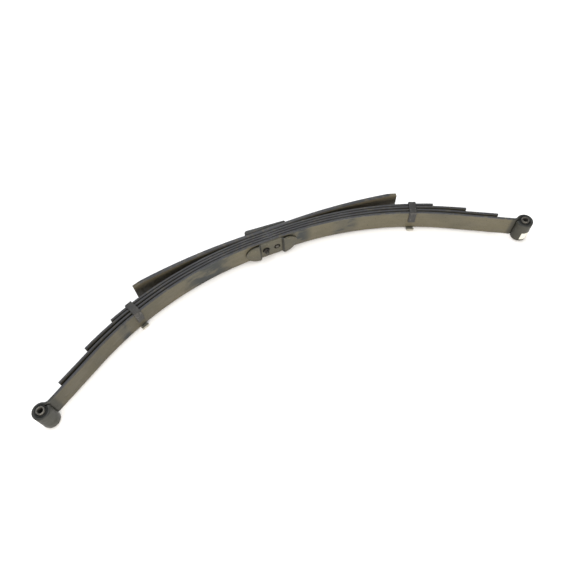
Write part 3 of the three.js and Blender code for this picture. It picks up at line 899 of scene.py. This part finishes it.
# %% Tip pads
PAD_INBOARD = 50
PAD_RADIUS = 15
STEM_RADIUS = 4.5
STEM_LONG = 5.5
for side, end in ENDS:
    for leaf, word, piece in ((1, "second", second_leaf), (2, "third", third_leaf)):
        at = end["sign"] * (end[word] - PAD_INBOARD)
        floor_offset = inner_offset(leaf - 1, at) + THICK + FIT
        high = inner_offset(leaf, at) - floor_offset - 2 * FIT
        outline = [(0, 0), (PAD_RADIUS - 0.8, 0), (PAD_RADIUS - 0.2, 0.3), (PAD_RADIUS, 0.9)]
        outline += [(PAD_RADIUS, high), (STEM_RADIUS, high), (STEM_RADIUS, high + STEM_LONG - 0.5)]
        outline += [(STEM_RADIUS - 0.5, high + STEM_LONG), (0, high + STEM_LONG)]
        pad = on_pack(turned(f"{side}_{word}_tip_pad_piece", outline), at, floor_offset)
        drill(piece, [pack_rod(STEM_RADIUS + FIT, at, inner_offset(leaf, at) + THICK / 2, 14)])
        compare(pad)

# %% [markdown]
# ## Eye bushings
# Each eye holds a bushing: a thin steel shell pressed into the roll, a ring of rubber, and a
# thick inner sleeve that takes the hanger's bolt. The sleeve is a little longer than the leaf is
# wide, and its ends are cut with fine radial teeth that bite the hanger so that only the rubber
# twists.

# %% Bushings
SHELL_OUT = EYE_BORE - FIT
SHELL_IN = 12.9
SHELL_HALF = 61.5 / 2
RUBBER_OUT = 12.6
RUBBER_IN = 10.3
RUBBER_HALF = 31.5
RUBBER_DISH = 1.5
SLEEVE_OUT = 10
SLEEVE_IN = 7
SLEEVE_HALF = MID + STRAP_GAP + STRAP_THICK
TEETH = 48
TOOTH_DEPTH = 0.4


def mirrored(upper):
    """The whole outline of a ring, from its upper half listed from the outside in."""
    return [(r, -h) for r, h in reversed(upper)] + upper


def ring(name, outline, x, y, steps):
    piece = turned(name, outline + outline[:1], steps)
    return put(piece, x, y, MID + BASE_Z)


def toothed(sleeve):
    top = (MID + BASE_Z + SLEEVE_HALF) * MM
    bottom = (MID + BASE_Z - SLEEVE_HALF) * MM
    centre = sum((v.co for v in sleeve.data.vertices), Vector()) / len(sleeve.data.vertices)
    for level, way in ((top, -1), (bottom, 1)):
        edit(sleeve)

        def every_other(face):
            at = face.calc_center_median()
            angle = math.atan2(at.y - centre.y, at.x - centre.x) % (2 * math.pi)
            flat = abs(at.z - level) < 1e-6
            return flat and int(angle / (2 * math.pi) * 2 * TEETH) % 2 == 0

        select_where(sleeve, "faces", every_other)
        move = {"value": (0, 0, way * TOOTH_DEPTH * MM)}
        bpy.ops.mesh.extrude_region_move(TRANSFORM_OT_translate=move)
        finish_edit(sleeve)


for side, end in ENDS:
    eye_x, eye_y, _ = pack_place(end["sign"] * end["eye"], EYE_OFFSET)
    shell = [(SHELL_OUT, SHELL_HALF - 0.7), (SHELL_OUT - 0.5, SHELL_HALF)]
    shell += [(SHELL_IN + 0.3, SHELL_HALF), (SHELL_IN, SHELL_HALF - 0.4)]
    waist = (RUBBER_IN + RUBBER_OUT) / 2
    rubber = [(RUBBER_OUT, RUBBER_HALF), (waist + 0.6, RUBBER_HALF - 1.1)]
    rubber += [(waist, RUBBER_HALF - RUBBER_DISH), (waist - 0.6, RUBBER_HALF - 1.1)]
    rubber += [(RUBBER_IN, RUBBER_HALF)]
    sleeve = [(SLEEVE_OUT, SLEEVE_HALF - 0.7), (SLEEVE_OUT - 0.7, SLEEVE_HALF)]
    sleeve += [(SLEEVE_IN + 0.5, SLEEVE_HALF), (SLEEVE_IN, SLEEVE_HALF - 0.5)]
    rings = (("shell", shell, 64), ("rubber", rubber, 64), ("sleeve", sleeve, 2 * TEETH))
    for word, half, steps in rings:
        made = ring(f"{side}_bushing_{word}_piece", mirrored(half), eye_x, eye_y, steps)
        if word == "sleeve":
            toothed(made)
        compare(made)

# %% [markdown]
# ## The blank label
# A plain paper label is wrapped part of the way round the right-hand eye. It is the thinnest bar
# of all, bent round the eye's outside.

# %% Eye label
LABEL_THICK = 0.25
LABEL_WIDE = 26
LABEL_LOW = 8
LABEL_START = 237
LABEL_TURN = 98
label_radius = EYE_BORE + THICK + FIT + LABEL_THICK / 2
label_x, label_y, _ = pack_point(RIGHT["eye"], EYE_OFFSET)
label_arc = [math.radians(LABEL_START + LABEL_TURN * i / 48) for i in range(49)]
label_middle = LABEL_LOW + LABEL_WIDE / 2
label_points = seated([
    (label_x + label_radius * math.cos(a), label_y + label_radius * math.sin(a), label_middle)
    for a in label_arc
])
label_stations = spread(0, line_length(label_points), 0.8)
eye_label = rolled_bar(
    "eye_label_piece", label_stations, LABEL_THICK, LABEL_WIDE, 0.08, 2, even(label_stations)
)
bend(eye_label, label_points)
compare(eye_label)

# %% [markdown]
# ## Tools for the finishes
# Every finish here is made of nodes: noise for mottling and grain, ramps that sharpen it, mixes
# that lay one colour over another and a bump for the relief. A few short helpers keep each finish
# readable. Patterns sit on Object coordinates, which don't slide, because every piece stays at
# the origin.

# %% Finish helpers
def shade(red, green, blue):
    """A screen colour made linear for the shader."""
    return tuple((c / 255) ** 2.2 for c in (red, green, blue)) + (1,)


def start_finish(name, roughness, specular, metallic=0.0):
    material = bpy.data.materials.new(name)
    material.use_nodes = True
    shader = material.node_tree.nodes["Principled BSDF"]
    shader.inputs["Roughness"].default_value = roughness
    shader.inputs["Specular IOR Level"].default_value = specular
    shader.inputs["Metallic"].default_value = metallic
    return material


def add(material, kind, inputs, **settings):
    made = material.node_tree.nodes.new("ShaderNode" + kind)
    for key, value in settings.items():
        setattr(made, key, value)
    for key, value in inputs.items():
        if isinstance(value, bpy.types.NodeSocket):
            material.node_tree.links.new(value, made.inputs[key])
        else:
            made.inputs[key].default_value = value
    return made


def place_of(material, stretch=(1, 1, 1), source="Object"):
    where = add(material, "TexCoord", {})
    return add(material, "Mapping", {"Vector": where.outputs[source], "Scale": stretch}).outputs[0]


def mottle(material, place, scale, low, high, detail=4.0):
    """Noise whose range from low to high is spread over 0 to 1."""
    noise = add(material, "TexNoise", {"Vector": place, "Scale": scale, "Detail": detail})
    settings = {"Value": noise.outputs["Fac"], "From Min": low, "From Max": high}
    return add(material, "MapRange", settings, clamp=True).outputs[0]


def spread_over(material, value, low, high):
    settings = {"Value": value, "From Min": low, "From Max": high}
    kind = "SMOOTHSTEP"
    return add(material, "MapRange", settings, clamp=True, interpolation_type=kind).outputs[0]


def combine(material, how, a, b):
    return add(material, "Math", {0: a, 1: b}, operation=how, use_clamp=True).outputs[0]


def minus(material, a, b):
    return add(material, "Math", {0: a, 1: b}, operation="SUBTRACT").outputs[0]


def size_of(material, value):
    return add(material, "Math", {0: value}, operation="ABSOLUTE").outputs[0]


def lay(material, amount, under, over):
    return add(material, "Mix", {0: amount, 6: under, 7: over}, data_type="RGBA").outputs[2]


def tint(material, colour, amount, strength, over):
    """One colour laid over another where amount is 1, at part strength."""
    return lay(material, combine(material, "MULTIPLY", amount, strength), colour, over)


def join(material, socket, value):
    shader = material.node_tree.nodes["Principled BSDF"]
    material.node_tree.links.new(value, shader.inputs[socket])


def relief(material, layers):
    """Bumps laid one on another, each a (height, strength, millimetres) triple."""
    normal = None
    for height, strength, depth in layers:
        inputs = {"Height": height, "Strength": strength, "Distance": depth * MM}
        if normal is not None:
            inputs["Normal"] = normal
        normal = add(material, "Bump", inputs).outputs[0]
    join(material, "Normal", normal)


def vary_roughness(material, amount, low, high):
    settings = {"Value": amount, "To Min": low, "To Max": high}
    join(material, "Roughness", add(material, "MapRange", settings, clamp=True).outputs[0])


# %% [markdown]
# ## The leaves' finish
# The leaves are hot-rolled steel, oil-quenched and dipped in a thin dark paint. The paint is a
# warm olive grey, with cooler bluish smudges where it is thin, fine streaks along the rolling
# direction and dark specks of scale. Painted shade is laid over it: the upper and lower edge faces
# are darker and cooler, the grooves between the leaves and rings round the seat holes are nearly
# black, and the face darkens towards the left end. The eyes and necks take a darker tone, partly
# their own paint and partly painted shade at the necks. Streaks follow the leaf, so they read the
# UV map that was laid on the straight bar. The grooves read the bar's own attribute, which runs
# from -1 on its hollow side to 1 on its back. The rest reads Object coordinates. A smudge is named
# by the middle of its stretch and its reach, both in metres along X from the seat.

# %% Leaf paint
PAINT_GLOSS = 0.28
EDGE_BAND = 3.4
EYE_FROM = 610
EYE_FULL = 619
EYE_TONE = shade(40, 41, 38)
SMUDGES = ((-0.43, 0.012), (-0.185, 0.068), (0.21, 0.03), (0.08, 0.03))
# Near-black tone of the painted shade.
PAINTED_SHADE = (0.006, 0.006, 0.006, 1)
STREAK_TONE = (0.02, 0.02, 0.02, 1)


def ring_mask(finish, place, x, z, radius):
    """1 inside the radius of an axis along Y, or of a plane across X where z is None."""
    axes = add(finish, "SeparateXYZ", {0: place})
    off_x = minus(finish, axes.outputs["X"], x * MM)
    if z is None:
        reach = size_of(finish, off_x)
    else:
        off_z = minus(finish, axes.outputs["Z"], z * MM)
        flat = add(finish, "CombineXYZ", {0: off_x, 1: off_z}).outputs[0]
        reach = add(finish, "VectorMath", {0: flat}, operation="LENGTH").outputs["Value"]
    return spread_over(finish, reach, (radius + 1) * MM, (radius - 1) * MM)


def leaf_paint(name, warm, cool, edge, speck, smudge_most=0.85, both_flanks=True):
    finish = start_finish(name, 0.5, PAINT_GLOSS)
    place = place_of(finish)
    axes = add(finish, "SeparateXYZ", {0: place})
    along, height = axes.outputs["X"], axes.outputs["Z"]
    smudge = None
    for middle, reach in SMUDGES:
        off = size_of(finish, minus(finish, along, SEAT_X * MM + middle))
        patch = combine(finish, "SUBTRACT", 1.0, spread_over(finish, off, reach * 0.3, reach * 1.5))
        smudge = patch if smudge is None else combine(finish, "MAXIMUM", smudge, patch)
    cloud = mottle(finish, place_of(finish, (1, 1, 1.8)), 22, 0.42, 0.58)
    patchy = combine(finish, "MULTIPLY", smudge, combine(finish, "ADD", cloud, 0.4))
    haze = combine(finish, "MULTIPLY", mottle(finish, place, 7, 0.5, 0.75), 0.35)
    cooled = combine(finish, "MULTIPLY", combine(finish, "MAXIMUM", patchy, haze), smudge_most)
    colour = lay(finish, cooled, warm, cool)
    # Painted shade: the face darkens towards the left end of the pack.
    left_arm_shade = spread_over(finish, along, SEAT_X * MM - 0.15, SEAT_X * MM - 0.5)
    colour = tint(finish, colour, left_arm_shade, 0.3, PAINTED_SHADE)
    streak = mottle(finish, place_of(finish, (5, 260, 1), "UV"), 1.6, 0.3, 0.7, 6.0)
    colour = tint(finish, colour, streak, 0.22, STREAK_TONE)
    pits = mottle(finish, place, 330, 0.62, 0.7, 2.0)
    colour = tint(finish, colour, pits, 0.6, speck)
    # Painted shade: the upper and lower edge faces are laid in a darker, cooler tone, broken up by
    # noise, because they take less light than the hollow face.
    top = BASE_Z + WIDTH
    upper = spread_over(finish, height, (top - EDGE_BAND) * MM, (top - 1) * MM)
    lower = spread_over(finish, height, (BASE_Z + EDGE_BAND) * MM, (BASE_Z + 1) * MM)
    edge_shade = combine(finish, "MAXIMUM", upper, lower)
    edge_breakup = mottle(finish, place_of(finish, (1, 1, 0.3)), 120, 0.35, 0.6)
    edge_shade = combine(finish, "MULTIPLY", edge_shade, combine(finish, "ADD", edge_breakup, 0.45))
    colour = lay(finish, edge_shade, colour, edge)
    # Painted shade: the broad faces beside the upper and lower edges darken where the grooves
    # between the leaves fall into shade.
    through = add(finish, "Attribute", {}, attribute_name="through").outputs["Fac"]
    flank = spread_over(finish, through, 0.25, 0.85)
    if both_flanks:
        front = add(finish, "Math", {0: through, 1: -1.0}, operation="MULTIPLY").outputs[0]
        flank = combine(finish, "MAXIMUM", flank, spread_over(finish, front, 0.25, 0.85))
    groove_shade = combine(finish, "MULTIPLY", flank, combine(finish, "MAXIMUM", upper, lower))
    colour = tint(finish, colour, groove_shade, 0.8, PAINTED_SHADE)
    # Painted shade: nearly black rings round the bolt and dowel holes, where the recesses fall into
    # shade.
    for x, radius in ((BOLT_X, 11), (DOWEL_X, 10)):
        hole_shade = ring_mask(finish, place, x + SEAT_X, MID + BASE_Z, radius)
        colour = tint(finish, colour, hole_shade, 0.85, PAINTED_SHADE)
    # The eyes and necks take a darker tone, partly their own paint and partly painted shade at the
    # necks.
    arm = size_of(finish, minus(finish, along, SEAT_X * MM))
    at_eye = spread_over(finish, arm, EYE_FROM * MM, EYE_FULL * MM)
    colour = tint(finish, colour, at_eye, 0.8, EYE_TONE)
    join(finish, "Base Color", colour)
    dull = combine(finish, "ADD", cloud, combine(finish, "MULTIPLY", streak, 0.4))
    vary_roughness(finish, dull, 0.42, 0.62)
    relief(finish, [
        (mottle(finish, place, 45, 0.2, 0.8), 0.5, 0.25),
        (streak, 0.35, 0.06),
        (pits, 0.5, -0.08),
        (mottle(finish, place, 900, 0.2, 0.8), 0.35, 0.05),
    ])
    return finish


WARM = shade(79, 75, 61)
COOL = shade(42, 45, 45)
# Darker cool tone painted on the leaves' edge faces as shade.
EDGE_SHADE = shade(50, 51, 54)
SCALE_SPECK = shade(34, 32, 29)
main_paint = leaf_paint("main_leaf_paint", WARM, COOL, EDGE_SHADE, SCALE_SPECK, 1.0, False)
leaf_finish = leaf_paint("leaf_paint", WARM, COOL, EDGE_SHADE, SCALE_SPECK)
overload_paint = leaf_paint(
    "overload_paint", shade(84, 78, 64), shade(70, 70, 62), EDGE_SHADE, SCALE_SPECK, 0.5
)

# %% [markdown]
# ## Pressed and bent strip
# The saddle plate and the clips are pressed from sheet and dipped in the same paint, the clips a
# little darker. Pressing drags fine lines over the face. The lip of each hook is lighter, partly
# paint worn to bare metal and partly a painted highlight. Painted shade darkens rings round the
# two holes and the folds of the plate. Each of these is placed by its height or its distance from
# an axis, so it sits where it falls on the real spring.

# %% Strip paint
# Light tone of the hook lips: paint worn to bare metal, with a painted highlight.
LIP_WEAR_AND_HIGHLIGHT = shade(128, 126, 114)
LIP_HEIGHT = 11.5
PLATE_FOLD = 2.6


def strip_paint(name, colour_a, colour_b, bare, bare_amount, lip=None, bends=(), holes=()):
    finish = start_finish(name, 0.5, PAINT_GLOSS)
    place = place_of(finish)
    cloud = mottle(finish, place, 38, 0.35, 0.65)
    colour = lay(finish, cloud, colour_a, colour_b)
    lines = mottle(finish, place_of(finish, (14, 300, 1), "UV"), 1.4, 0.3, 0.7, 5.0)
    colour = tint(finish, colour, lines, 0.2, STREAK_TONE)
    chips = mottle(finish, place, 210, 0.64, 0.69, 3.0)
    colour = tint(finish, colour, chips, bare_amount, bare)
    # The hook's lip is lighter, partly worn bare metal and partly a painted highlight.
    if lip is not None:
        height = add(finish, "SeparateXYZ", {0: place}).outputs["Z"]
        lip_wear_and_highlight = spread_over(finish, height, (lip + 1.5) * MM, (lip - 1.5) * MM)
        colour = tint(finish, colour, lip_wear_and_highlight, 0.9, LIP_WEAR_AND_HIGHLIGHT)
    # Painted shade: dark rings round the holes, where the recesses fall into shade.
    for x, radius in holes:
        hole_shade = ring_mask(finish, place, x + SEAT_X, MID + BASE_Z, radius)
        colour = tint(finish, colour, hole_shade, 0.9, PAINTED_SHADE)
    # Painted shade: dark bands in the folds of the plate, where the risers fall into shade.
    for bend_x in bends:
        fold_shade = ring_mask(finish, place, bend_x, None, PLATE_FOLD)
        colour = tint(finish, colour, fold_shade, 0.75, PAINTED_SHADE)
    join(finish, "Base Color", colour)
    vary_roughness(finish, lines, 0.42, 0.6)
    relief(finish, [
        (mottle(finish, place, 60, 0.2, 0.8), 0.45, 0.2),
        (lines, 0.3, 0.05),
        (chips, 0.6, -0.06),
        (mottle(finish, place, 1000, 0.2, 0.8), 0.3, 0.04),
    ])
    return finish


fold_middle = (PLATE_FLAT + PLATE_CREST) / 2
folds = [SEAT_X + SADDLE_SHIFT + side * fold_middle for side in (-1, 1)]
saddle_paint = strip_paint(
    "saddle_paint", shade(69, 66, 54), shade(60, 59, 51), shade(104, 101, 90), 0.3, None, folds,
    ((BOLT_X, 10), (DOWEL_X, 9)),
)
clip_paint = strip_paint(
    "clip_paint", shade(41, 41, 41), shade(50, 49, 47), shade(112, 111, 106), 0.6, LIP_HEIGHT
)

# %% [markdown]
# ## Cast, turned and moulded finishes
# The wedge is sand-cast, so it is grainy. The bolt, nut and rivets are phosphated steel, and the
# dowel is a lighter steel, a painted highlight that makes its end bright in its hole.
# The bushing's shell and sleeve are dark oiled steel, its rubber is matte with a fine mould
# texture, the tip pads are off-white plastic and the label is plain paper.

# %% Plain finishes
METAL_GLOSS = 0.3


def grainy(name, tones, roughness, grain, depth, metallic=0.0, coarse=30):
    """Two mottled tones, and a third for stains where it is given."""
    finish = start_finish(name, roughness, METAL_GLOSS, metallic)
    place = place_of(finish)
    cloud = mottle(finish, place, coarse, 0.35, 0.65)
    colour = lay(finish, cloud, shade(*tones[0]), shade(*tones[1]))
    fine = mottle(finish, place, grain, 0.25, 0.75, 3.0)
    colour = tint(finish, colour, fine, 0.25, (0.015, 0.015, 0.015, 1))
    for stain in tones[2:]:
        rust = mottle(finish, place, coarse * 3, 0.58, 0.7)
        colour = tint(finish, colour, rust, 0.4, shade(*stain))
    join(finish, "Base Color", colour)
    vary_roughness(finish, cloud, roughness - 0.08, roughness + 0.1)
    relief(finish, [(cloud, 0.3, depth * 2), (fine, 0.6, depth)])
    return finish


# A lighter steel for the dowel, a painted highlight for its end in the hole.
lit_dowel_steel = grainy("lit_dowel_steel", ((68, 66, 61), (54, 53, 50)), 0.45, 600, 0.03, 0.3, 60)
shell_steel = grainy("shell_steel", ((62, 64, 63), (50, 52, 52)), 0.45, 600, 0.04, 0.4, 50)
bush_rubber = grainy("bush_rubber", ((30, 30, 30), (38, 38, 37)), 0.72, 500, 0.06)
iron_tones = ((53, 54, 53), (44, 45, 44), (92, 70, 52))
wedge_iron = grainy("wedge_iron", iron_tones, 0.6, 420, 0.18)
phosphate_tones = ((44, 43, 40), (34, 33, 32), (88, 70, 56))
phosphate = grainy("phosphate", phosphate_tones, 0.55, 700, 0.04, 0.2, 60)
sleeve_tones = ((104, 102, 97), (84, 83, 79), (80, 66, 52))
sleeve_steel = grainy("sleeve_steel", sleeve_tones, 0.34, 600, 0.04, 0.4, 60)
pad_tones = ((226, 224, 216), (212, 208, 196), (150, 144, 130))
pad_plastic = grainy("pad_plastic", pad_tones, 0.5, 380, 0.04, 0.0, 40)
label_tones = ((196, 196, 188), (184, 184, 175), (170, 166, 156))
label_paper = grainy("label_paper", label_tones, 0.6, 800, 0.02, 0.0, 50)
print("plain finishes ready")

# %% [markdown]
# ## What stands for what
# Each new piece takes the place of its node and rides on the same body. The two inner sleeves
# turn in the rubber, and the rest moves as one.

# %% Dress, ride and replace
PACK = "spring_pack"
wardrobe = {
    "main_leaf": (PACK, main_paint, "spring_steel"),
    "second_leaf": (PACK, leaf_finish, "spring_steel"),
    "third_leaf": (PACK, leaf_finish, "spring_steel"),
    "fourth_leaf": (PACK, leaf_finish, "spring_steel"),
    "overload_leaf": (PACK, overload_paint, "overload_steel"),
    "axle_wedge": (PACK, wedge_iron, "wedge_iron"),
    "saddle_plate": (PACK, saddle_paint, "stamped_steel"),
    "centre_bolt": (PACK, phosphate, "fastener"),
    "centre_nut": (PACK, phosphate, "fastener"),
    "locating_dowel": (PACK, lit_dowel_steel, "fastener"),
    "eye_label": (PACK, label_paper, "label"),
}
for side in ("left", "right"):
    wardrobe[side + "_clip"] = (PACK, clip_paint, "clip_steel")
    wardrobe[side + "_clip_rivet"] = (PACK, phosphate, "fastener")
    wardrobe[side + "_second_tip_pad"] = (PACK, pad_plastic, "slip_pad")
    wardrobe[side + "_third_tip_pad"] = (PACK, pad_plastic, "slip_pad")
    wardrobe[side + "_bushing_shell"] = (PACK, shell_steel, "shell_steel")
    wardrobe[side + "_bushing_rubber"] = (PACK, bush_rubber, "rubber")
    wardrobe[side + "_bushing_sleeve"] = (side + "_sleeve", sleeve_steel, "sleeve_steel")

face_count = 0
for node, (body, finish, slot) in wardrobe.items():
    piece = bpy.data.objects[node + "_piece"]
    piece.data.materials.clear()
    piece.data.materials.append(finish)
    smooth(piece)
    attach(piece, body)
    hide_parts(node)
    face_count += len(piece.data.polygons)
print(len(wardrobe), "pieces dressed,", face_count, "faces")

# %% [markdown]
# ## The last update
# The view layer is brought up to date once more. The visual model has to stay inside the
# CAD model's box.

# %% Update
bpy.context.view_layer.update()
